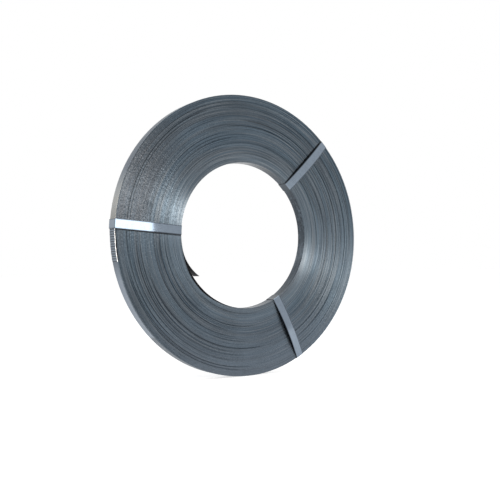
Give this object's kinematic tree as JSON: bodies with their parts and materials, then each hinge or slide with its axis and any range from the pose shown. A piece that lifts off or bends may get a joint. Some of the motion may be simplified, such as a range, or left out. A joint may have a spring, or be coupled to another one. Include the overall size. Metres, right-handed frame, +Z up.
{
  "type": "steel strapping coil",
  "caption": "Ribbon-wound coil of flat blued-steel strapping with an open bore, standing on its rim, tied round its section by thin steel straps closed with crimped seals.",
  "frame": {"origin": "on the floor, where the rim touches it, below the middle of the coil's axis and of the strap's width", "axes": "+Y along the coil's axis, from the end that the picture shows to the end with the seals; +X to the picture's right; +Z up"},
  "size_m": [0.3858, 0.0238, 0.385],
  "materials": {
    "blued_strap": "blued and waxed cold-rolled steel, satin, with the turns' edges showing on the ends",
    "tie_strap": "blued thin steel strap, smooth and glossy",
    "seal_sheet": "zinc-coated sheet, crimped"
  },
  "bodies": {
    "root": {"strap_coil": "blued_strap", "tie_left": "tie_strap", "tie_upper_right": "tie_strap", "tie_lower_right": "tie_strap", "seal_left": "seal_sheet", "seal_upper_right": "seal_sheet", "seal_lower_right": "seal_sheet"}
  },
  "joints": []
}
